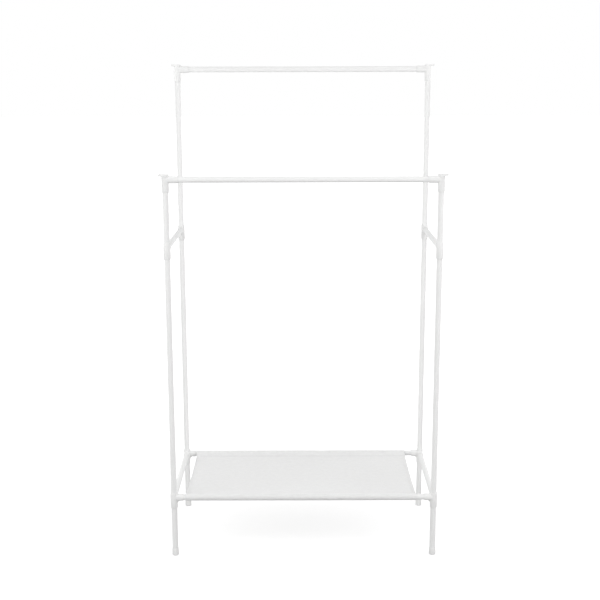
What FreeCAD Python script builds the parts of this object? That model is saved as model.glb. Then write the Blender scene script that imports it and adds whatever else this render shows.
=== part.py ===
import FreeCAD, Part
import Sketcher
import math
import os
from FreeCAD import Placement, Rotation, Vector

# A free-standing clothes rack: steel tubes pushed into moulded connectors, with two hanging rails and a
# cloth shelf. +Z is up, +Y points from the front legs to the rear legs, +X is the right-hand end, and the
# origin lies on the floor in the middle of the four feet.

# Driving dimensions in millimetres: alias, size and what it measures. A size that starts with an equals sign
# follows from the others.
DIMENSIONS = [
    ("frame_width", 860, "left leg axis to right leg axis"),
    ("frame_depth", 416, "front leg axis to rear leg axis"),
    ("shelf_height", 204, "floor to shelf bar axis"),
    ("brace_height", 1040, "floor to side brace axis"),
    ("front_rail_height", 1254, "floor to front hanging rail axis"),
    ("rear_rail_height", 1592, "floor to rear hanging rail axis"),
    ("tube_diameter", 19, "outside of every tube"),
    ("tube_wall", 0.9, "wall of every tube"),
    ("socket_clearance", 0.15, "play between a tube and its socket, on the radius"),
    ("barrel_wall", 2.1, "wall of the upright barrel of a connector"),
    ("socket_wall", 1.8, "wall of a side socket"),
    ("mouth_lip", 0.9, "wall left at the rim of a tapered mouth"),
    ("mouth_taper", 4, "length of a tapered mouth"),
    ("stop_wall", 3.4, "plastic between crossing sockets, where tube ends stop"),
    ("stop_floor", 2, "plastic between the two leg tubes that end in one barrel"),
    ("collar_rise", 4, "barrel of a tee or corner above the top of its side sockets"),
    ("collar_chamfer", 0.8, "chamfer round the top of that barrel"),
    ("elbow_drop", 40, "rail axis to the lower mouth of an elbow"),
    ("elbow_reach", 40, "leg axis to the side mouth of an elbow"),
    ("joint_drop", 37, "side socket axis to the lower mouth of a tee or corner"),
    ("brace_reach", 34, "leg axis to the side mouth of a brace tee"),
    ("shelf_reach", 32, "leg axis to the side mouths of a shelf corner"),
    ("web_reach", 12, "run of the gusset web along the barrel and the side socket"),
    ("web_thickness", 3, "thickness of a gusset web"),
    ("web_bite", 0.5, "how deep a web is rooted in the walls it joins"),
    ("tab_thickness", 6, "flat end tab on an elbow"),
    ("tab_overhang", 10, "tab beyond the barrel, on the outside"),
    ("tab_margin", 0.6, "tab beyond the barrel, on the other sides"),
    ("tab_corner", 2, "corner radius at the outer end of the tab"),
    ("tab_chamfer", 0.6, "chamfer round the top edge of the tab"),
    ("tab_sink", 0.8, "underside of the tab below the top of the side socket"),
    ("cap_wall", 1.4, "wall of a foot cap"),
    ("cap_lip", 0.6, "wall of a foot cap at its upper rim"),
    ("cap_height", 24, "height of a foot cap"),
    ("cap_taper", 3, "length of the taper up to that rim"),
    ("cap_floor", 3, "plastic under the end of the leg"),
    ("cap_chamfer", 1, "chamfer of the foot cap at the floor"),
    ("cloth_left_gap", 6, "left side mouth of a shelf corner to the cloth"),
    ("cloth_right_gap", 25, "cloth to the right side mouth of a shelf corner"),
    ("cloth_width", "=frame_width - 2 * shelf_reach - cloth_left_gap - cloth_right_gap", "hem to hem"),
    ("cloth_shift", "=(cloth_right_gap - cloth_left_gap) / 2", "cloth's middle to the left of the rack's"),
    ("cloth_thickness", 1.2, "sheet with its hems"),
    ("sleeve_clearance", 0.3, "play between a sleeve and its bar, on the radius"),
    ("seam_reach", 27, "bar axis to the seam that closes its sleeve"),
    ("seam_width", 4, "stitched strip between the seam and the hollow of the sleeve"),
    ("cloth_sag", 5, "drop of the sheet midway between its seams"),
]

# Sizes that follow from the sheet, written as expressions.
HALF_WIDTH = "(dims.frame_width / 2)"
HALF_DEPTH = "(dims.frame_depth / 2)"
TUBE_RADIUS = "(dims.tube_diameter / 2)"
BORE_RADIUS = f"({TUBE_RADIUS} + dims.socket_clearance)"
BARREL_RADIUS = f"({BORE_RADIUS} + dims.barrel_wall)"
SOCKET_RADIUS = f"({BORE_RADIUS} + dims.socket_wall)"
MOUTH_RADIUS = f"({BORE_RADIUS} + dims.mouth_lip)"
# A tube end stops this far from the axis that its socket crosses.
TUBE_STOP = f"({BORE_RADIUS} + dims.stop_wall)"
# The lower of two leg tubes in one barrel stops under the floor that carries the upper one.
LOWER_STOP = f"({TUBE_STOP} + dims.stop_floor)"
COLLAR_TOP = f"({SOCKET_RADIUS} + dims.collar_rise)"
TAB_UNDERSIDE = f"({SOCKET_RADIUS} - dims.tab_sink)"
TAB_OUTER_END = f"(-{BARREL_RADIUS} - dims.tab_overhang)"
TAB_HALF = f"({BARREL_RADIUS} + dims.tab_margin)"

FULL_TURN = "360"
# Points closer than this to a surface count as lying on it, and an edge is judged by this many points.
TOUCH = 0.01
EDGE_SAMPLES = 5

# Where the four legs stand: name, sign along X, sign along Y.
LEGS = [
    ("front_left", -1, -1),
    ("front_right", 1, -1),
    ("rear_left", -1, 1),
    ("rear_right", 1, 1),
]

doc = FreeCAD.newDocument("clothes_rack")
sheet = doc.addObject("Spreadsheet::Sheet", "dims")
for row, (alias, size, meaning) in enumerate(DIMENSIONS, start=1):
    sheet.set(f"A{row}", meaning)
    sheet.set(f"B{row}", str(size))
    sheet.setAlias(f"B{row}", alias)
doc.recompute()

sub_parts = []


def number(expression):
    """The present value of an expression over the sheet."""
    return float(sheet.evalExpression(expression))


def new_body(label, x, y, z, turn=0):
    """Start a sub-part at x, y, z, turned about the upright axis by a whole number of degrees."""
    body = doc.addObject("PartDesign::Body", label)
    body.Label = label
    body.Placement = Placement(Vector(), Rotation(Vector(0, 0, 1), turn))
    for axis, expression in (("x", x), ("y", y), ("z", z)):
        body.setExpression(f"Placement.Base.{axis}", expression)
    sub_parts.append(body)
    return body


def new_sketch(body, name, plane):
    """Start a sketch on one of the body's own origin planes."""
    sketch = body.newObject("Sketcher::SketchObject", name)
    support = next(item for item in body.Origin.OriginFeatures if item.Role == plane)
    sketch.AttachmentSupport = [(support, "")]
    sketch.MapMode = "FlatFace"
    return sketch


def bind(sketch, constraint, expression):
    """Add a sketch constraint whose size is an expression."""
    index = sketch.addConstraint(constraint)
    sketch.setExpression(f"Constraints[{index}]", expression)


def pin(sketch, edge, point, x, y):
    """Hold a point of an edge at x, y from the sketch origin."""
    bind(sketch, Sketcher.Constraint("DistanceX", -1, 1, edge, point, number(x)), x)
    bind(sketch, Sketcher.Constraint("DistanceY", -1, 1, edge, point, number(y)), y)


def add_circle(sketch, x, y, radius):
    """Draw a circle with its centre pinned."""
    centre = Vector(number(x), number(y), 0)
    edge = sketch.addGeometry(Part.Circle(centre, Vector(0, 0, 1), number(radius)))
    pin(sketch, edge, 3, x, y)
    bind(sketch, Sketcher.Constraint("Radius", edge, number(radius)), radius)


def arc_between(start, end, radius, turn):
    """The short arc from start to end: turn is 1 for counter-clockwise and -1 for clockwise."""
    half_chord = (end - start) / 2
    height = math.sqrt(max(radius ** 2 - half_chord.Length ** 2, 0))
    sideways = Vector(-half_chord.y, half_chord.x, 0).normalize()
    centre = start + half_chord + sideways * (height * turn)
    circle = Part.Circle(centre, Vector(0, 0, 1), radius)
    first, last = (start, end) if turn > 0 else (end, start)
    angles = [math.atan2(point.y - centre.y, point.x - centre.x) for point in (first, last)]
    return Part.ArcOfCircle(circle, *angles)


def add_outline(sketch, steps):
    """Draw a closed outline: each step is a corner (x, y), or (x, y, radius, turn) after an arc."""
    corners = [Vector(number(step[0]), number(step[1]), 0) for step in steps]
    edges = []
    for index, step in enumerate(steps):
        start, end = corners[index - 1], corners[index]
        if len(step) == 2:
            edge = sketch.addGeometry(Part.LineSegment(start, end))
            edges.append((edge, 1, 2))
            continue
        radius, turn = step[2:]
        edge = sketch.addGeometry(arc_between(start, end, number(radius), turn))
        edges.append((edge, 1, 2) if turn > 0 else (edge, 2, 1))
    for index, (edge, first, last) in enumerate(edges):
        before, _, before_last = edges[index - 1]
        sketch.addConstraint(Sketcher.Constraint("Coincident", before, before_last, edge, first))
        pin(sketch, edge, last, *steps[index][:2])
        if len(steps[index]) > 2:
            radius = steps[index][2]
            bind(sketch, Sketcher.Constraint("Radius", edge, number(radius)), radius)


def revolve(body, kind, name, sketch, axis):
    """Turn a sketch once round one of its own axes, to add material or to cut it."""
    before = body.Shape.Volume if body.Tip else 0
    feature = body.newObject(f"PartDesign::{kind}", name)
    feature.Profile = sketch
    feature.ReferenceAxis = (sketch, [axis])
    feature.setExpression("Angle", FULL_TURN)
    doc.recompute()
    gained = body.Shape.Volume - before
    if (gained > 0) != (kind == "Revolution"):
        raise RuntimeError(f"{body.Label}: {name} changed the volume by {gained:.1f}")
    return feature


def pad(body, name, sketch, length, side="One side"):
    """Extrude a sketch to one side of its plane, or equally to both."""
    feature = body.newObject("PartDesign::Pad", name)
    feature.Profile = sketch
    feature.SideType = side
    feature.setExpression("Length", length)
    doc.recompute()
    return feature


def chamfer(body, name, base, size, wanted):
    """Chamfer every edge of a feature whose points all satisfy a test."""
    names = []
    for index, edge in enumerate(base.Shape.Edges, start=1):
        if all(wanted(point) for point in edge.discretize(EDGE_SAMPLES)):
            names.append(f"Edge{index}")
    feature = body.newObject("PartDesign::Chamfer", name)
    feature.Base = (base, names)
    feature.setExpression("Size", size)
    doc.recompute()
    return feature


def tube(label, plane, length, x, y, z):
    """A straight tube, centred at x, y, z along the normal of the plane its section is drawn on."""
    body = new_body(label, x, y, z)
    section = new_sketch(body, "tube_section", plane)
    add_circle(section, "0", "0", TUBE_RADIUS)
    add_circle(section, "0", "0", f"({TUBE_RADIUS} - dims.tube_wall)")
    pad(body, "tube_wall", section, length, "Symmetric")


def upright_tube(label, x, y, bottom, top):
    """A leg or post between two heights."""
    tube(label, "XY_Plane", f"{top} - {bottom}", x, y, f"({top} + {bottom}) / 2")


def add_barrel(body, top_steps, drop):
    """The upright barrel: a straight wall that tapers to a lower mouth."""
    sketch = new_sketch(body, "barrel_outline", "XZ_Plane")
    lower_mouth = [
        ("0", f"-{drop}"),
        (MOUTH_RADIUS, f"-{drop}"),
        (BARREL_RADIUS, f"-{drop} + dims.mouth_taper"),
    ]
    add_outline(sketch, lower_mouth + top_steps)
    revolve(body, "Revolution", "barrel", sketch, "V_Axis")


def add_side_socket(body, plane, reach):
    """A side socket along the first axis of a plane, tapering to its mouth."""
    sketch = new_sketch(body, "socket_outline", plane)
    add_outline(sketch, [
        ("0", "0"),
        (reach, "0"),
        (reach, MOUTH_RADIUS),
        (f"{reach} - dims.mouth_taper", SOCKET_RADIUS),
        ("0", SOCKET_RADIUS),
    ])
    revolve(body, "Revolution", "side_socket", sketch, "H_Axis")


def add_web(body, plane):
    """A gusset web in the corner under a side socket, with a hollow curved edge."""
    sketch = new_sketch(body, "web_outline", plane)
    root_x = f"({BARREL_RADIUS} - dims.web_bite)"
    root_z = f"(dims.web_bite - {SOCKET_RADIUS})"
    add_outline(sketch, [
        (root_x, root_z),
        (f"{BARREL_RADIUS} + dims.web_reach", root_z),
        (root_x, f"-{SOCKET_RADIUS} - dims.web_reach", "dims.web_reach + dims.web_bite", 1),
    ])
    pad(body, "gusset_web", sketch, "dims.web_thickness", "Symmetric")


def cut_bore(body, plane, axis, start, end):
    """A blind bore for a tube, on one axis of a plane."""
    sketch = new_sketch(body, "bore_outline", plane)
    corners = [(start, "0"), (end, "0"), (end, BORE_RADIUS), (start, BORE_RADIUS)]
    if axis == "V_Axis":
        corners = [(across, along) for along, across in corners]
    add_outline(sketch, corners)
    revolve(body, "Groove", "bore", sketch, axis)


def joint_connector(label, x, y, z, turn, planes, reach):
    """A tee or corner: two leg tubes end in its barrel, and side sockets leave it along given planes."""
    body = new_body(label, x, y, z, turn)
    add_barrel(body, [
        (BARREL_RADIUS, f"{COLLAR_TOP} - dims.collar_chamfer"),
        (f"{BARREL_RADIUS} - dims.collar_chamfer", COLLAR_TOP),
        ("0", COLLAR_TOP),
    ], "dims.joint_drop")
    for plane in planes:
        add_side_socket(body, plane, reach)
        add_web(body, plane)
    cut_bore(body, "XZ_Plane", "V_Axis", "-dims.joint_drop", f"-{LOWER_STOP}")
    cut_bore(body, "XZ_Plane", "V_Axis", f"-{TUBE_STOP}", COLLAR_TOP)
    for plane in planes:
        cut_bore(body, plane, "H_Axis", TUBE_STOP, reach)


def add_tab(body):
    """The flat tab across the top of an elbow, round at the rail end and long at the outer end."""
    sketch = new_sketch(body, "tab_outline", "XY_Plane")
    sketch.setExpression("AttachmentOffset.Base.z", TAB_UNDERSIDE)
    corner_x = f"{TAB_OUTER_END} + dims.tab_corner"
    corner_y = f"({TAB_HALF} - dims.tab_corner)"
    add_outline(sketch, [
        ("0", f"-{TAB_HALF}"),
        (TAB_HALF, "0", TAB_HALF, 1),
        ("0", TAB_HALF, TAB_HALF, 1),
        (corner_x, TAB_HALF),
        (TAB_OUTER_END, corner_y, "dims.tab_corner", 1),
        (TAB_OUTER_END, f"-{corner_y}"),
        (corner_x, f"-{TAB_HALF}", "dims.tab_corner", 1),
    ])
    plate = pad(body, "tab", sketch, "dims.tab_thickness")
    top = number(f"{TAB_UNDERSIDE} + dims.tab_thickness")
    chamfer(body, "tab_edge", plate, "dims.tab_chamfer", lambda point: abs(point.z - top) < TOUCH)


def rail_elbow(label, x, y, z, turn):
    """An elbow: a post ends in its barrel, a hanging rail in its side socket, and a tab closes the top."""
    body = new_body(label, x, y, z, turn)
    barrel_top = f"({TAB_UNDERSIDE} + dims.tab_thickness / 2)"
    add_barrel(body, [
        (BARREL_RADIUS, barrel_top),
        ("0", barrel_top),
    ], "dims.elbow_drop")
    add_side_socket(body, "XZ_Plane", "dims.elbow_reach")
    add_tab(body)
    cut_bore(body, "XZ_Plane", "V_Axis", "-dims.elbow_drop", f"-{TUBE_STOP}")
    cut_bore(body, "XZ_Plane", "H_Axis", TUBE_STOP, "dims.elbow_reach")


def foot_cap(label, x, y):
    """A plastic cup over the end of a leg, chamfered at the floor and tapering to its rim."""
    body = new_body(label, x, y, "0")
    sketch = new_sketch(body, "cap_outline", "XZ_Plane")
    outside = f"({BORE_RADIUS} + dims.cap_wall)"
    add_outline(sketch, [
        ("0", "0"),
        (f"{outside} - dims.cap_chamfer", "0"),
        (outside, "dims.cap_chamfer"),
        (outside, "dims.cap_height - dims.cap_taper"),
        (f"{BORE_RADIUS} + dims.cap_lip", "dims.cap_height"),
        (BORE_RADIUS, "dims.cap_height"),
        (BORE_RADIUS, "dims.cap_floor"),
        ("0", "dims.cap_floor"),
    ])
    revolve(body, "Revolution", "cap", sketch, "V_Axis")


def tangent_angle(distance, height, radius):
    """Angle round a circle at which a line from (-distance, height) touches its upper side."""
    towards = math.atan2(height, -distance)
    return towards - math.acos(radius / math.hypot(distance, height))


def add_sleeve_curve(sketch, side, radius, seam_x, seam_height):
    """An arc round a shelf bar and the two tangents that run in from it to a seam; gives the tangents."""
    bar_x = f"({side} * {HALF_DEPTH})"
    reach = abs(number(bar_x) - number(seam_x))
    angle = tangent_angle(reach, number(seam_height), number(radius))
    centre = Vector(number(bar_x), 0, 0)
    circle = Part.Circle(centre, Vector(0, 0, 1), number(radius))
    span = (-angle, angle) if side > 0 else (math.pi - angle, math.pi + angle)
    arc = sketch.addGeometry(Part.ArcOfCircle(circle, *span))
    pin(sketch, arc, 3, bar_x, "0")
    bind(sketch, Sketcher.Constraint("Radius", arc, number(radius)), radius)
    tangents = {}
    for height_sign in (1, -1):
        seam_y = f"({height_sign} * {seam_height})"
        touch = centre + Vector(side * math.cos(angle), height_sign * math.sin(angle), 0) * number(radius)
        seam = Vector(number(seam_x), number(seam_y), 0)
        line = sketch.addGeometry(Part.LineSegment(touch, seam))
        arc_end = 2 if height_sign * side > 0 else 1
        sketch.addConstraint(Sketcher.Constraint("Tangent", line, 1, arc, arc_end))
        tangents[height_sign] = line
        pin(sketch, line, 2, seam_x, seam_y)
    return tangents


def shelf_cloth():
    """The cloth shelf: one sheet, slightly sagging, with a sewn sleeve round each shelf bar."""
    body = new_body("shelf_cloth", "-dims.cloth_shift", "0", "dims.shelf_height")
    sketch = new_sketch(body, "cloth_section", "YZ_Plane")
    inside = f"({TUBE_RADIUS} + dims.sleeve_clearance)"
    outside = f"({inside} + dims.cloth_thickness)"
    half_thick = "(dims.cloth_thickness / 2)"
    seam_from_middle = f"({HALF_DEPTH} - dims.seam_reach)"
    hollow_from_middle = f"({seam_from_middle} + dims.seam_width)"
    sag_radius = f"({seam_from_middle} ^ 2 / dims.cloth_sag + dims.cloth_sag) / 2"
    outer = {}
    for side in (-1, 1):
        outer[side] = add_sleeve_curve(sketch, side, outside, f"({side} * {seam_from_middle})", half_thick)
        add_sleeve_curve(sketch, side, inside, f"({side} * {hollow_from_middle})", "0")
    for height_sign in (1, -1):
        height = number(f"{height_sign} * {half_thick}")
        start = Vector(number(f"-{seam_from_middle}"), height, 0)
        end = Vector(number(seam_from_middle), height, 0)
        arc = sketch.addGeometry(arc_between(start, end, number(sag_radius), 1))
        sketch.addConstraint(Sketcher.Constraint("Coincident", arc, 1, outer[-1][height_sign], 2))
        sketch.addConstraint(Sketcher.Constraint("Coincident", arc, 2, outer[1][height_sign], 2))
        bind(sketch, Sketcher.Constraint("Radius", arc, number(sag_radius)), sag_radius)
    pad(body, "sheet", sketch, "dims.cloth_width", "Symmetric")


def build_leg(corner, side, row):
    """One leg from the floor to its hanging rail, with its foot cap and three connectors."""
    x = f"({side} * {HALF_WIDTH})"
    y = f"({row} * {HALF_DEPTH})"
    rail_height = "dims.front_rail_height" if row < 0 else "dims.rear_rail_height"
    foot_cap(f"{corner}_foot_cap", x, y)
    upright_tube(f"{corner}_lower_leg", x, y, "dims.cap_floor", f"(dims.shelf_height - {LOWER_STOP})")
    # The corner's two sockets point along +X and +Y at the front left leg and turn with the corner.
    corner_turn = {(-1, -1): 0, (1, -1): 90, (1, 1): 180, (-1, 1): 270}[side, row]
    joint_connector(f"{corner}_shelf_connector", x, y, "dims.shelf_height", corner_turn,
                    ("XZ_Plane", "YZ_Plane"), "dims.shelf_reach")
    upright_tube(f"{corner}_middle_leg", x, y, f"(dims.shelf_height - {TUBE_STOP})",
                 f"(dims.brace_height - {LOWER_STOP})")
    # The tee's socket is drawn along +X and turned towards the other row of legs.
    joint_connector(f"{corner}_brace_connector", x, y, "dims.brace_height", -90 * row,
                    ("XZ_Plane",), "dims.brace_reach")
    upright_tube(f"{corner}_upper_post", x, y, f"(dims.brace_height - {TUBE_STOP})",
                 f"({rail_height} - {TUBE_STOP})")
    rail_elbow(f"{corner}_rail_elbow", x, y, rail_height, 0 if side < 0 else 180)


def build_cross_tubes():
    """The tubes between the legs: hanging rails, shelf bars, side braces and shelf side bars."""
    across = f"dims.frame_width - 2 * {TUBE_STOP}"
    fore_and_aft = f"dims.frame_depth - 2 * {TUBE_STOP}"
    for name, row in (("front", -1), ("rear", 1)):
        y = f"({row} * {HALF_DEPTH})"
        tube(f"{name}_hanging_rail", "YZ_Plane", across, "0", y, f"dims.{name}_rail_height")
        tube(f"{name}_shelf_bar", "YZ_Plane", across, "0", y, "dims.shelf_height")
    for name, side in (("left", -1), ("right", 1)):
        x = f"({side} * {HALF_WIDTH})"
        tube(f"{name}_side_brace", "XZ_Plane", fore_and_aft, x, "0", "dims.brace_height")
        tube(f"{name}_shelf_side_bar", "XZ_Plane", fore_and_aft, x, "0", "dims.shelf_height")


def check_document():
    """Stop if any object failed to compute or any sub-part has no valid solid."""
    failed = [item.Label for item in doc.Objects if {"Invalid", "Error"} & set(item.State)]
    for body in sub_parts:
        if body.Shape.isNull() or not body.Shape.isValid() or len(body.Shape.Solids) != 1:
            failed.append(body.Label)
    if failed:
        raise RuntimeError("not computed: " + ", ".join(failed))


for corner, side, row in LEGS:
    build_leg(corner, side, row)
build_cross_tubes()
shelf_cloth()
doc.recompute()
check_document()

os.makedirs("parts", exist_ok=True)
for body in sub_parts:
    body.Shape.exportStep(f"parts/{body.Label}.step")
print(f"{len(sub_parts)} sub-parts written")
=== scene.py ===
import math
import random

import bmesh
import bpy
from mathutils import Matrix, Vector, noise


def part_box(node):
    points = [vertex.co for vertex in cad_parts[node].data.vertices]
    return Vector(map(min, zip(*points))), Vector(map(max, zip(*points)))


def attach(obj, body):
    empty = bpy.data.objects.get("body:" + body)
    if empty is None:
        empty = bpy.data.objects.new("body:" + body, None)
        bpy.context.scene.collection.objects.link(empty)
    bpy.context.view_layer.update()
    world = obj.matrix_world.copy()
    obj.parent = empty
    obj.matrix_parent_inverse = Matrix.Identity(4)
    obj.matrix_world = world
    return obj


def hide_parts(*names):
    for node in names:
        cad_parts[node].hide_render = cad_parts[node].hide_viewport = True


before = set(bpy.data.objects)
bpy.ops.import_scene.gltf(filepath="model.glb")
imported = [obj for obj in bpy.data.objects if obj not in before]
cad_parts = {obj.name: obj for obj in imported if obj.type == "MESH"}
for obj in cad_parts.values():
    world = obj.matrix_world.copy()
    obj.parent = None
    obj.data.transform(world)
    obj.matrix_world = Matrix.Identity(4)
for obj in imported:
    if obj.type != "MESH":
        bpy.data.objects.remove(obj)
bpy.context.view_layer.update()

# A white clothes rack with two hanging rails and a cloth shelf, seen from the front and a little from above.
# All sizes are in metres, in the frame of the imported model: +Z up, +Y to the rear, +X to the right.

scene = bpy.context.scene

CORNERS = ("front_left", "front_right", "rear_left", "rear_right")
CONNECTOR_KINDS = ("rail_elbow", "brace_connector", "shelf_connector")
CONNECTORS = [f"{corner}_{kind}" for corner in CORNERS for kind in CONNECTOR_KINDS]
FOOT_CAPS = [f"{corner}_foot_cap" for corner in CORNERS]
CLOTH = "shelf_cloth"
TUBES = sorted(set(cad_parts) - set(CONNECTORS) - set(FOOT_CAPS) - {CLOTH})


# Materials

CONNECTOR_WHITE = (0.84, 0.84, 0.836)
FOOT_WHITE = (0.84, 0.84, 0.835)
CLOTH_WHITE = (0.805, 0.805, 0.801)
DOUBLED_CLOTH_WHITE = (0.875, 0.875, 0.871)
SATIN_SHINE = 0.3
THREAD_PITCH = 0.0008


def new_material(name, color, roughness):
    """A material with one shader, in a plain colour until textures are linked to it."""
    material = bpy.data.materials.new(name)
    material.use_nodes = True
    shader = material.node_tree.nodes["Principled BSDF"]
    shader.inputs["Base Color"].default_value = (*color, 1)
    shader.inputs["Roughness"].default_value = roughness
    return material, shader


def feed(owner, socket, value):
    """Link a socket to another, or set it to a plain value. The owner is a material or a world."""
    if isinstance(value, bpy.types.NodeSocket):
        owner.node_tree.links.new(value, socket)
    else:
        socket.default_value = value


def add_node(owner, kind, links=None, **settings):
    """Add a node, set its properties, and feed its inputs with sockets or plain values."""
    node = owner.node_tree.nodes.new(kind)
    for name, value in settings.items():
        setattr(node, name, value)
    for name, value in (links or {}).items():
        feed(owner, node.inputs[name], value)
    return node


def calculate(owner, operation, *values):
    """A math node over sockets or plain numbers."""
    node = add_node(owner, "ShaderNodeMath", operation=operation)
    for socket, value in zip(node.inputs, values):
        feed(owner, socket, value)
    return node.outputs[0]


def grain(material, per_metre, detail=2.0):
    """Noise fixed to the rack, with about this many features to the metre."""
    place = add_node(material, "ShaderNodeTexCoord").outputs["Object"]
    links = {"Vector": place, "Scale": per_metre, "Detail": detail}
    return add_node(material, "ShaderNodeTexNoise", links).outputs["Fac"]


def spread(material, fac, low, high):
    """Stretch a noise value, which stays near one half, over a range."""
    links = {"Value": fac, "From Min": 0.3, "From Max": 0.7, "To Min": low, "To Max": high}
    return add_node(material, "ShaderNodeMapRange", links).outputs["Result"]


def blend_colors(material, fac, first, second):
    """From one colour to another as fac goes from 0 to 1."""
    node = add_node(material, "ShaderNodeMix", data_type="RGBA")
    feed(material, node.inputs["Factor"], fac)
    for name, color in (("A", first), ("B", second)):
        socket = next(s for s in node.inputs if s.name == name and s.type == "RGBA")
        feed(material, socket, (*color, 1))
    return next(s for s in node.outputs if s.type == "RGBA")


def bump(material, height, strength, depth):
    """A bump of a given depth in metres."""
    links = {"Height": height, "Strength": strength, "Distance": depth}
    return add_node(material, "ShaderNodeBump", links).outputs["Normal"]


def powder_coat():
    """White powder coat on the tubes: satin, with the fine orange peel of melted powder."""
    material, shader = new_material("white_powder_coat", color=(0.83, 0.83, 0.827), roughness=0.49)
    cloudy = spread(material, grain(material, per_metre=9, detail=3), low=0, high=1)
    base = blend_colors(material, cloudy, first=(0.82, 0.821, 0.817), second=(0.84, 0.84, 0.837))
    feed(material, shader.inputs["Base Color"], base)
    gloss = spread(material, grain(material, per_metre=160), low=0.44, high=0.54)
    feed(material, shader.inputs["Roughness"], gloss)
    shader.inputs["Specular IOR Level"].default_value = SATIN_SHINE
    peel = bump(material, grain(material, per_metre=650, detail=1), strength=0.2, depth=0.00008)
    feed(material, shader.inputs["Normal"], peel)
    return material


def moulded_plastic(name, color):
    """White moulded plastic: a little softer in gloss than the tubes, with a fine spark-eroded texture."""
    material, shader = new_material(name, color, roughness=0.52)
    cloudy = spread(material, grain(material, per_metre=30, detail=3), low=0, high=1)
    cloud_shade = 0.97
    darker = tuple(cloud_shade * channel for channel in color)
    feed(material, shader.inputs["Base Color"], blend_colors(material, cloudy, darker, color))
    gloss = spread(material, grain(material, per_metre=300), low=0.46, high=0.58)
    feed(material, shader.inputs["Roughness"], gloss)
    shader.inputs["Specular IOR Level"].default_value = SATIN_SHINE
    texture = bump(material, grain(material, per_metre=2200, detail=1), strength=0.2, depth=0.00005)
    feed(material, shader.inputs["Normal"], texture)
    return material


def thread_round(material, way):
    """Height of a round thread across its own width, from 0 at its sides to 1."""
    share = calculate(material, "FRACT", way)
    return calculate(material, "SINE", calculate(material, "MULTIPLY", share, math.pi))


def weave(material, along, across):
    """Height of a plain weave, from 0 to 1: round threads that pass over and under each other in turn."""
    warp, weft = (calculate(material, "MULTIPLY", way, 1 / THREAD_PITCH) for way in (along, across))
    warp_round, weft_round = (thread_round(material, way) for way in (warp, weft))
    cell = calculate(material, "ADD", calculate(material, "FLOOR", warp), calculate(material, "FLOOR", weft))
    over = calculate(material, "PINGPONG", cell, 1)
    rise, least = 0.45, 0.55
    warp_crown = calculate(material, "MULTIPLY_ADD", weft_round, rise, least)
    weft_crown = calculate(material, "MULTIPLY_ADD", warp_round, rise, least)
    warp_height = calculate(material, "MULTIPLY", warp_round, warp_crown)
    weft_height = calculate(material, "MULTIPLY", weft_round, weft_crown)
    gap = calculate(material, "SUBTRACT", warp_height, weft_height)
    return calculate(material, "MULTIPLY_ADD", gap, over, weft_height)


def woven_cloth(half_panel, half_length):
    """White plain-weave cloth, with painted shade in the hollows of the weave. Its map runs in metres along
    the threads, so the weave follows every fold.
    """
    material, shader = new_material("white_woven_cloth", CLOTH_WHITE, roughness=0.85)
    place = add_node(material, "ShaderNodeUVMap").outputs["UV"]
    split = add_node(material, "ShaderNodeSeparateXYZ", {"Vector": place})
    along, across = split.outputs["X"], split.outputs["Y"]
    height = weave(material, along, across)
    from_middle = calculate(material, "ABSOLUTE", calculate(material, "SUBTRACT", across, half_length))
    doubled = calculate(material, "GREATER_THAN", from_middle, half_panel)
    ground = blend_colors(material, doubled, CLOTH_WHITE, DOUBLED_CLOTH_WHITE)
    slub = spread(material, grain(material, per_metre=70, detail=4), low=0.96, high=1.0)
    # Painted shade: the colour darkens in the hollows between the threads, where the weave would shade
    # itself. The slub noise is the yarn's own uneven tone.
    painted_shade_range, painted_hollow_shade = 0.08, 0.94
    painted_weave_shade = calculate(material, "MULTIPLY_ADD", height, painted_shade_range, painted_hollow_shade)
    slub_and_painted_shade = calculate(material, "MULTIPLY", slub, painted_weave_shade)
    cloth_color_with_painted_shade = add_node(material, "ShaderNodeVectorMath", operation="SCALE")
    feed(material, cloth_color_with_painted_shade.inputs["Vector"], ground)
    feed(material, cloth_color_with_painted_shade.inputs["Scale"], slub_and_painted_shade)
    feed(material, shader.inputs["Base Color"], cloth_color_with_painted_shade.outputs["Vector"])
    feed(material, shader.inputs["Normal"], bump(material, height, strength=0.35, depth=0.00012))
    shader.inputs["Subsurface Weight"].default_value = 0.6
    shader.inputs["Subsurface Radius"].default_value = (1, 1, 1)
    shader.inputs["Subsurface Scale"].default_value = 0.0015
    shader.inputs["Sheen Weight"].default_value = 0.15
    shader.inputs["Sheen Roughness"].default_value = 0.5
    return material


def sewing_thread():
    """White spun thread."""
    material, shader = new_material("white_thread", color=(0.86, 0.86, 0.85), roughness=0.7)
    ply = spread(material, grain(material, per_metre=900), low=0, high=1)
    base = blend_colors(material, ply, first=(0.80, 0.80, 0.79), second=(0.88, 0.88, 0.87))
    feed(material, shader.inputs["Base Color"], base)
    fuzz = bump(material, grain(material, per_metre=4000), strength=0.3, depth=0.00005)
    feed(material, shader.inputs["Normal"], fuzz)
    return material


def finish_nodes(names, material):
    """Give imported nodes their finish."""
    for name in names:
        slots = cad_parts[name].data.materials
        slots.clear()
        slots.append(material)


def add_object(name, mesh, material, body):
    """Put a mesh in the scene as a piece that rides on a body."""
    piece = bpy.data.objects.new(name, mesh)
    scene.collection.objects.link(piece)
    mesh.materials.append(material)
    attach(piece, body)
    return piece


# Shelf cloth

CLOTH_LAYER = 0.0006
HEM_WIDTH = 0.012
SEAM_REACH = 0.027
FLAP_WIDTH = 0.009
FLAP_DROP = 0.0004
CLOTH_SAG = 0.005
# The sheet fills a little less than its layer, so folded layers don't touch.
LAYER_FILL = 0.96

# How finely the cloth is divided.
PANEL_STEPS = 60
SLEEVE_STEPS = 48
COLUMN_STEP = 0.0082
SLEEVE_ROW_STEP = 0.0032
PANEL_ROW_STEP = 0.0065

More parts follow.
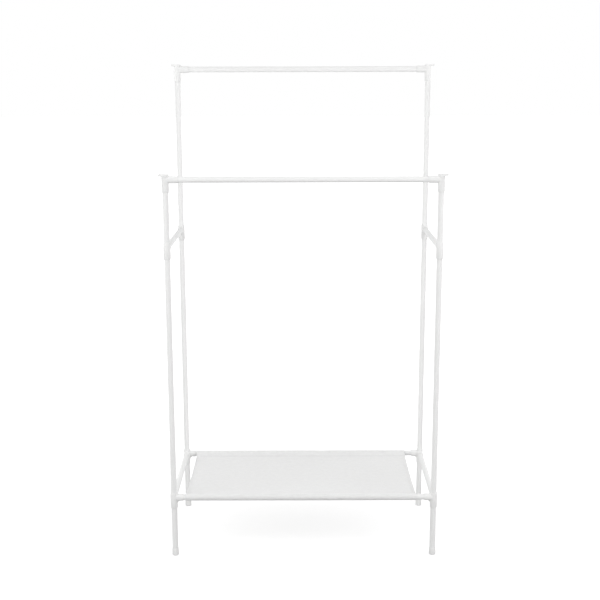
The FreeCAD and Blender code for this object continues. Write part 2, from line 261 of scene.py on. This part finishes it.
# How far the cloth stands out of its section. A run is the distance from the seam over which that sets in.
SLEEVE_SLACK = 0.0003
SLEEVE_SLACK_RUN = 0.012
BROAD_SLACK = 0.0011
SMALL_SLACK = 0.00045
PANEL_SLACK_RUN = 0.06
PUCKER_HEIGHT = 0.00022
PUCKER_RUN = 0.004
# Puckers repeat along the seam, with a drift in radians, and fade out away from it.
PUCKER_PITCH = 0.021
PUCKER_DRIFT = 3
PUCKER_REACH = 0.016

# Noise behind these: features to the metre across the shelf and along the section, and a layer of its own.
SLEEVE_NOISE = (45, 60, 5)
BROAD_NOISE = (9, 4, 1)
SMALL_NOISE = (26, 10, 2)
DRIFT_NOISE = (30, 3, 3)

cloth_low, cloth_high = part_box(CLOTH)
bar_low, bar_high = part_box("rear_shelf_bar")
BAR_FROM_MIDDLE = (bar_low.y + bar_high.y) / 2
BAR_HEIGHT = (bar_low.z + bar_high.z) / 2
SLEEVE_RADIUS = cloth_high.y - BAR_FROM_MIDDLE - CLOTH_LAYER / 2
SEAM_FROM_MIDDLE = BAR_FROM_MIDDLE - SEAM_REACH
CLOTH_MIDDLE = (cloth_low.x + cloth_high.x) / 2
HALF_CLOTH = (cloth_high.x - cloth_low.x) / 2


def half_section():
    """Points of the cloth's section from the middle of the shelf to the flap under the rear seam."""
    points = []
    for step in range(PANEL_STEPS + 1):
        share = step / PANEL_STEPS
        points.append((share * SEAM_FROM_MIDDLE, CLOTH_LAYER / 2 - CLOTH_SAG * (1 - share ** 2)))
    slope = math.atan2(CLOTH_LAYER / 2, -SEAM_REACH)
    half_wrap = slope - math.acos(SLEEVE_RADIUS / math.hypot(SEAM_REACH, CLOTH_LAYER / 2))
    for step in range(SLEEVE_STEPS + 1):
        angle = half_wrap * (1 - 2 * step / SLEEVE_STEPS)
        points.append((BAR_FROM_MIDDLE + SLEEVE_RADIUS * math.cos(angle), SLEEVE_RADIUS * math.sin(angle)))
    points.append((SEAM_FROM_MIDDLE, -CLOTH_LAYER / 2))
    points.append((SEAM_FROM_MIDDLE - FLAP_WIDTH, -CLOTH_LAYER / 2 - FLAP_DROP))
    return points


class Section:
    """The cloth's section as a path: front flap, front sleeve, panel, rear sleeve, rear flap."""

    def __init__(self):
        rear = half_section()
        front = [(-y, z) for y, z in reversed(rear[1:])]
        self.points = [Vector((y, z)) for y, z in front + rear]
        self.marks = [0.0]
        for before, after in zip(self.points, self.points[1:]):
            self.marks.append(self.marks[-1] + (after - before).length)
        self.length = self.marks[-1]
        self.middle = self.length / 2
        panel_end = next(i for i, (y, z) in enumerate(rear) if y >= SEAM_FROM_MIDDLE)
        self.half_panel = self.marks[len(front) + panel_end] - self.middle

    def at(self, distance):
        """Point and outward normal at a distance along the path."""
        last = len(self.marks) - 2
        index = next((i for i in range(last) if self.marks[i + 1] >= distance), last)
        start, end = self.points[index], self.points[index + 1]
        share = (distance - self.marks[index]) / (self.marks[index + 1] - self.marks[index])
        along = (end - start).normalized()
        return start.lerp(end, share), Vector((-along.y, along.x))


section = Section()


def smooth_step(value):
    """From 0 to 1 with soft ends."""
    value = min(max(value, 0), 1)
    return value * value * (3 - 2 * value)


def wave(x, distance, pattern):
    """Smooth noise over the cloth, from -1 to 1."""
    across, along, layer = pattern
    return noise.noise(Vector((x * across, distance * along, layer)))


def ripple(x, distance):
    """How far the cloth stands out of its section: slack in the panel, puckers beside the seams."""
    from_middle = abs(distance - section.middle)
    to_seam = section.half_panel - from_middle
    if to_seam < 0:
        loose = 0.5 + 0.5 * wave(x, distance, SLEEVE_NOISE)
        return SLEEVE_SLACK * loose * smooth_step(-to_seam / SLEEVE_SLACK_RUN)
    broad = BROAD_SLACK * wave(x, distance, BROAD_NOISE)
    small = SMALL_SLACK * wave(x, distance, SMALL_NOISE)
    slack = smooth_step(to_seam / PANEL_SLACK_RUN) * (broad + small)
    phase = PUCKER_DRIFT * wave(x, distance, DRIFT_NOISE)
    swing = math.sin(x * 2 * math.pi / PUCKER_PITCH + phase)
    pucker = PUCKER_HEIGHT * swing * math.exp(-to_seam / PUCKER_REACH)
    return slack + pucker * smooth_step(to_seam / PUCKER_RUN)


def cloth_point(x, distance, lift=0.0):
    """Point of the cloth at x across the shelf and a distance along its section, and its normal."""
    flat, outward = section.at(distance)
    from_middle = abs(distance - section.middle)
    to_side = HALF_CLOTH - abs(x)
    # Under the seams the folded hems need room between the panel and the flap.
    past_wrap = smooth_step((from_middle - section.middle + FLAP_WIDTH + SEAM_REACH / 2) / (SEAM_REACH / 2))
    room_start = 2.5 * HEM_WIDTH
    near_side = smooth_step((room_start - to_side) / HEM_WIDTH)
    out = lift + ripple(x, distance) + 2 * CLOTH_LAYER * past_wrap * near_side
    normal = Vector((0, outward.x, outward.y))
    place = Vector((CLOTH_MIDDLE + x, flat.x, BAR_HEIGHT + flat.y))
    return place + normal * out, normal


def steps_between(start, end, size):
    """Evenly spaced values from start to end, about size apart, with both ends."""
    count = max(round(abs(end - start) / size), 1)
    return [start + (end - start) * step / count for step in range(count + 1)]


def cloth_columns():
    """The cloth from hem to hem: place across the shelf, depth under the top layer, place on the map."""
    fold = CLOTH_LAYER / 2
    edge = HALF_CLOTH
    half_hem = HEM_WIDTH / 2
    left = [
        (-edge + HEM_WIDTH, 2 * fold),
        (-edge + half_hem, 2 * fold),
        (-edge + fold, 2 * fold),
        (-edge, fold),
        (-edge + fold, 0),
    ]
    inner = [(x, 0) for x in steps_between(-edge + half_hem, edge - half_hem, COLUMN_STEP)]
    columns = left + inner + [(-x, depth) for x, depth in reversed(left)]
    marks = [0.0]
    for before, after in zip(columns, columns[1:]):
        marks.append(marks[-1] + math.dist(before, after))
    return [(x, depth, mark) for (x, depth), mark in zip(columns, marks)]


def cloth_rows():
    """Distances along the section: fine over the sleeves and flaps, wider over the panel."""
    seam = section.middle - section.half_panel
    first = steps_between(0, seam, SLEEVE_ROW_STEP)
    panel = steps_between(seam, section.length - seam, PANEL_ROW_STEP)
    last = [section.length - row for row in reversed(first)]
    return first + panel[1:-1] + last


def build_cloth():
    """One sheet with folded side hems and a sleeve sewn round each shelf bar, and its flat size."""
    columns = cloth_columns()
    rows = cloth_rows()
    vertices = []
    places = []
    for distance in rows:
        for x, depth, mark in columns:
            point, _ = cloth_point(x, distance, -depth)
            vertices.append(point)
            places.append((mark, distance))
    faces = []
    width = len(columns)
    for row in range(len(rows) - 1):
        for column in range(width - 1):
            corner = row * width + column
            faces.append((corner, corner + 1, corner + width + 1, corner + width))
    mesh = bpy.data.meshes.new("shelf_cloth_sheet")
    mesh.from_pydata(vertices, [], faces)
    mesh.polygons.foreach_set("use_smooth", [True] * len(faces))
    weave_map = mesh.uv_layers.new(name="weave")
    for loop in mesh.loops:
        weave_map.data[loop.index].uv = places[loop.vertex_index]
    material = woven_cloth(section.half_panel, section.middle)
    sheet = add_object("shelf_cloth_sheet", mesh, material, "cloth")
    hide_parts(CLOTH)
    finer = sheet.modifiers.new("finer", "SUBSURF")
    finer.levels = finer.render_levels = 1
    thick = sheet.modifiers.new("thickness", "SOLIDIFY")
    thick.thickness = CLOTH_LAYER * LAYER_FILL
    thick.offset = 0
    flat_width = columns[-1][-1]
    return sheet, (flat_width, section.length)


# Stitching

STITCH_PITCH = 0.0032
STITCH_LENGTH = 0.0024
STITCH_RADIUS = 0.00022
STITCH_SIDES = 5
STITCH_SWAY = 0.00012
STITCH_SEED = 11
STITCH_LIFT = CLOTH_LAYER / 2
# Rings of a stitch from end to end: share of its length, share of its radius, and rise in radii.
STITCH_RINGS = ((0, 0.5, -1.0), (0.22, 1, 0.1), (0.78, 1, 0.1), (1, 0.5, -1.0))
# Rows beside a seam, measured from it towards the middle of the shelf, and the gap at both their ends.
SEAM_ROWS = (-0.0018, 0.0052)
SEAM_END_GAP = 0.002
# The row along a hem, measured outwards from the hem's inner edge, and the gap at both its ends.
HEM_ROW_INSET = 0.0025
HEM_END_GAP = 0.003


def add_stitch(mesh, start, end, normal):
    """A short thread that rises out of the cloth, lies on it and dives back in."""
    along = (end - start).normalized()
    side = normal.cross(along)
    rings = []
    for share, size, rise in STITCH_RINGS:
        centre = start.lerp(end, share) + normal * (rise * STITCH_RADIUS)
        ring = []
        for corner in range(STITCH_SIDES):
            angle = 2 * math.pi * corner / STITCH_SIDES
            spoke = side * math.cos(angle) + normal * math.sin(angle)
            ring.append(mesh.verts.new(centre + spoke * (size * STITCH_RADIUS)))
        rings.append(ring)
    for first, second in zip(rings, rings[1:]):
        for corner in range(STITCH_SIDES):
            after = (corner + 1) % STITCH_SIDES
            mesh.faces.new((first[corner], first[after], second[after], second[corner]))
    mesh.faces.new(list(reversed(rings[0])))
    mesh.faces.new(rings[-1])


def stitch_row(mesh, place_at, length, wander):
    """A row of stitches along a line on the cloth; place_at gives its points and normals."""
    count = int(length / STITCH_PITCH)
    for index in range(count):
        begin = (index + 0.5) * STITCH_PITCH - STITCH_LENGTH / 2
        start, normal = place_at(begin, wander.uniform(-1, 1))
        end, _ = place_at(begin + STITCH_LENGTH, wander.uniform(-1, 1))
        add_stitch(mesh, start, end, normal)


def stitch_seam(mesh, distance, wander):
    """A row from side to side, at a distance along the cloth's section."""
    length = 2 * HALF_CLOTH - 2 * SEAM_END_GAP

    def place_at(along, drift):
        return cloth_point(along - length / 2, distance + drift * STITCH_SWAY, STITCH_LIFT)

    stitch_row(mesh, place_at, length, wander)


def stitch_hem(mesh, x, wander):
    """A row from flap to flap, at x across the shelf."""
    length = section.length - 2 * HEM_END_GAP

    def place_at(along, drift):
        return cloth_point(x + drift * STITCH_SWAY, along + HEM_END_GAP, STITCH_LIFT)

    stitch_row(mesh, place_at, length, wander)


def build_stitching():
    """Two rows along each sleeve seam, on the panel and under the flap, and one along each side hem."""
    mesh = bmesh.new()
    wander = random.Random(STITCH_SEED)
    for side in (-1, 1):
        for offset in SEAM_ROWS:
            stitch_seam(mesh, section.middle + side * (section.half_panel - offset), wander)
            stitch_seam(mesh, section.middle + side * (section.middle - FLAP_WIDTH + offset), wander)
        stitch_hem(mesh, side * (HALF_CLOTH - HEM_WIDTH + HEM_ROW_INSET), wander)
    data = bpy.data.meshes.new("shelf_cloth_stitching")
    mesh.to_mesh(data)
    mesh.free()
    data.polygons.foreach_set("use_smooth", [True] * len(data.polygons))
    return add_object("shelf_cloth_stitching", data, sewing_thread(), "cloth")


# Moulded edges

EDGE_ROUND = 0.00035
EDGE_ANGLE = math.radians(30)
EDGE_STEPS = 2
JOIN_WITHIN = 1e-6


def round_edges(names):
    """Soften the sharp edges of moulded pieces, as a mould leaves them."""
    for name in names:
        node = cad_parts[name]
        weld = node.modifiers.new("joined", "WELD")
        weld.merge_threshold = JOIN_WITHIN
        soft = node.modifiers.new("soft_edges", "BEVEL")
        soft.width = EDGE_ROUND
        soft.segments = EDGE_STEPS
        soft.limit_method = "ANGLE"
        soft.angle_limit = EDGE_ANGLE


# Assembly

finish_nodes(TUBES, powder_coat())
finish_nodes(CONNECTORS, moulded_plastic("white_connector_plastic", CONNECTOR_WHITE))
finish_nodes(FOOT_CAPS, moulded_plastic("white_foot_plastic", FOOT_WHITE))
round_edges(CONNECTORS + FOOT_CAPS)
cloth, flat_size = build_cloth()
stitching = build_stitching()


# Camera

CAMERA_EYE = (-0.011, -3.493, 1.564)
CAMERA_PITCH = math.radians(11.91)
CAMERA_ROLL = math.radians(-0.13)
FOCAL_PIXELS = 1054.3
FRAME_PIXELS = 600
# The sensor's width is in millimetres, as Blender has it.
SENSOR_WIDTH = 36


def add_camera():
    """The photograph's point of view: in front, a little lower than the rear rail, looking slightly down."""
    data = bpy.data.cameras.new("camera")
    data.sensor_width = SENSOR_WIDTH
    data.lens = SENSOR_WIDTH * FOCAL_PIXELS / FRAME_PIXELS
    camera = bpy.data.objects.new("camera", data)
    turn = Matrix.Rotation(math.pi / 2 - CAMERA_PITCH, 4, "X") @ Matrix.Rotation(CAMERA_ROLL, 4, "Z")
    camera.matrix_world = Matrix.Translation(CAMERA_EYE) @ turn
    scene.collection.objects.link(camera)
    scene.camera = camera


# Light and floor

SKY_LEVEL = 0.71
FLOOR_GRAY = (0.52, 0.52, 0.52)
FLOOR_REACH = 40
# The floor glows for the camera: a little near the rack, where its shadow shows, and fully further away.
FLOOR_GLOW = 0.66
GLOW_START = 0.5
GLOW_END = 1.6

# Soft boxes on the right, each with a twin on the left: place, target, size and power in watts.
SOFT_BOXES = {
    "wide_box": ((2.8, -1.4, 1.4), (0, 0, 1.2), (1.2, 1.6), 16),
    "near_box": ((1.5, -1.5, 2.2), (0, 0, 1.2), (1.0, 1.0), 10),
    "low_box": ((0.9, -3.0, 0.3), (0, 0, 0.15), (1.6, 0.5), 3),
    "rear_box": ((1.8, 2.2, 1.0), (0, 0, 0.6), (1.2, 1.2), 9),
    "leg_fill": ((1.9, -1.7, 0.1), (-0.43, 0.2, 0.1), (0.5, 0.2), 24),
    "rail_fill": ((2.0, -0.1, 0.1), (0, 0.2, 1.6), (0.6, 0.6), 13),
    "post_fill": ((2.0, -0.9, 1.6), (-0.43, 0.2, 1.3), (0.6, 0.6), 6),
}


def seen_directly(owner):
    """1 for rays that show the background itself: straight, mirrored or through glass."""
    rays = add_node(owner, "ShaderNodeLightPath").outputs
    seen = rays["Is Camera Ray"]
    for name in ("Is Glossy Ray", "Is Transmission Ray"):
        seen = calculate(owner, "MAXIMUM", seen, rays[name])
    return seen


def add_floor():
    """A plain pale floor that shows white, and keeps the soft shadow near the rack."""
    mesh = bpy.data.meshes.new("floor")
    corners = [(x * FLOOR_REACH, y * FLOOR_REACH, 0) for x, y in ((-1, -1), (1, -1), (1, 1), (-1, 1))]
    mesh.from_pydata(corners, [], [(0, 1, 2, 3)])
    floor = bpy.data.objects.new("floor", mesh)
    scene.collection.objects.link(floor)
    material, shader = new_material("pale_floor", FLOOR_GRAY, roughness=0.9)
    shader.inputs["Specular IOR Level"].default_value = 0
    shader.inputs["Emission Color"].default_value = (1, 1, 1, 1)
    place = add_node(material, "ShaderNodeTexCoord").outputs["Object"]
    away = add_node(material, "ShaderNodeVectorMath", {0: place}, operation="LENGTH").outputs["Value"]
    links = {"Value": away, "From Min": GLOW_START, "From Max": GLOW_END, "To Min": FLOOR_GLOW, "To Max": 1}
    glow = add_node(material, "ShaderNodeMapRange", links).outputs["Result"]
    feed(material, shader.inputs["Emission Strength"],
         calculate(material, "MULTIPLY", seen_directly(material), glow))
    mesh.materials.append(material)


def add_world():
    """Even light from all round, and a white background."""
    world = bpy.data.worlds.new("studio")
    world.use_nodes = True
    scene.world = world
    background = world.node_tree.nodes["Background"]
    background.inputs["Color"].default_value = (1, 1, 1, 1)
    strength = calculate(world, "MULTIPLY_ADD", seen_directly(world), 1 - SKY_LEVEL, SKY_LEVEL)
    feed(world, background.inputs["Strength"], strength)


def add_lamp(name, place, target, size, power, only=()):
    """A soft box that points at a target. It lights the whole scene, or only the named nodes."""
    data = bpy.data.lights.new(name, "AREA")
    data.shape = "RECTANGLE"
    data.size, data.size_y = size
    data.energy = power
    lamp = bpy.data.objects.new(name, data)
    lamp.location = place
    lamp.rotation_mode = "QUATERNION"
    lamp.rotation_quaternion = (Vector(target) - Vector(place)).to_track_quat("-Z", "Y")
    scene.collection.objects.link(lamp)
    if only:
        receivers = bpy.data.collections.new(f"{name}_receivers")
        for node in only:
            receivers.objects.link(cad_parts[node])
        lamp.light_linking.receiver_collection = receivers


def on_side(point, sign):
    """A point on the right, or its twin on the left."""
    x, y, z = point
    return sign * x, y, z


def add_lamps():
    """Soft boxes on both sides, and fills for the darker sides of the rear legs and the rear rail."""
    for side, far, sign in (("left", "right", -1), ("right", "left", 1)):
        under_shelf = [f"rear_{far}_{kind}" for kind in ("lower_leg", "foot_cap", "shelf_connector")]
        filled = {
            "leg_fill": under_shelf + ["rear_shelf_bar"],
            "rail_fill": ["rear_hanging_rail", "rear_left_rail_elbow", "rear_right_rail_elbow"],
            "post_fill": [f"rear_{far}_upper_post", f"rear_{far}_middle_leg"],
        }
        for name, (place, target, size, power) in SOFT_BOXES.items():
            add_lamp(f"{side}_{name}", on_side(place, sign), on_side(target, sign), size, power,
                     filled.get(name, ()))


add_camera()
add_floor()
add_world()
add_lamps()
scene.view_settings.view_transform = "Standard"
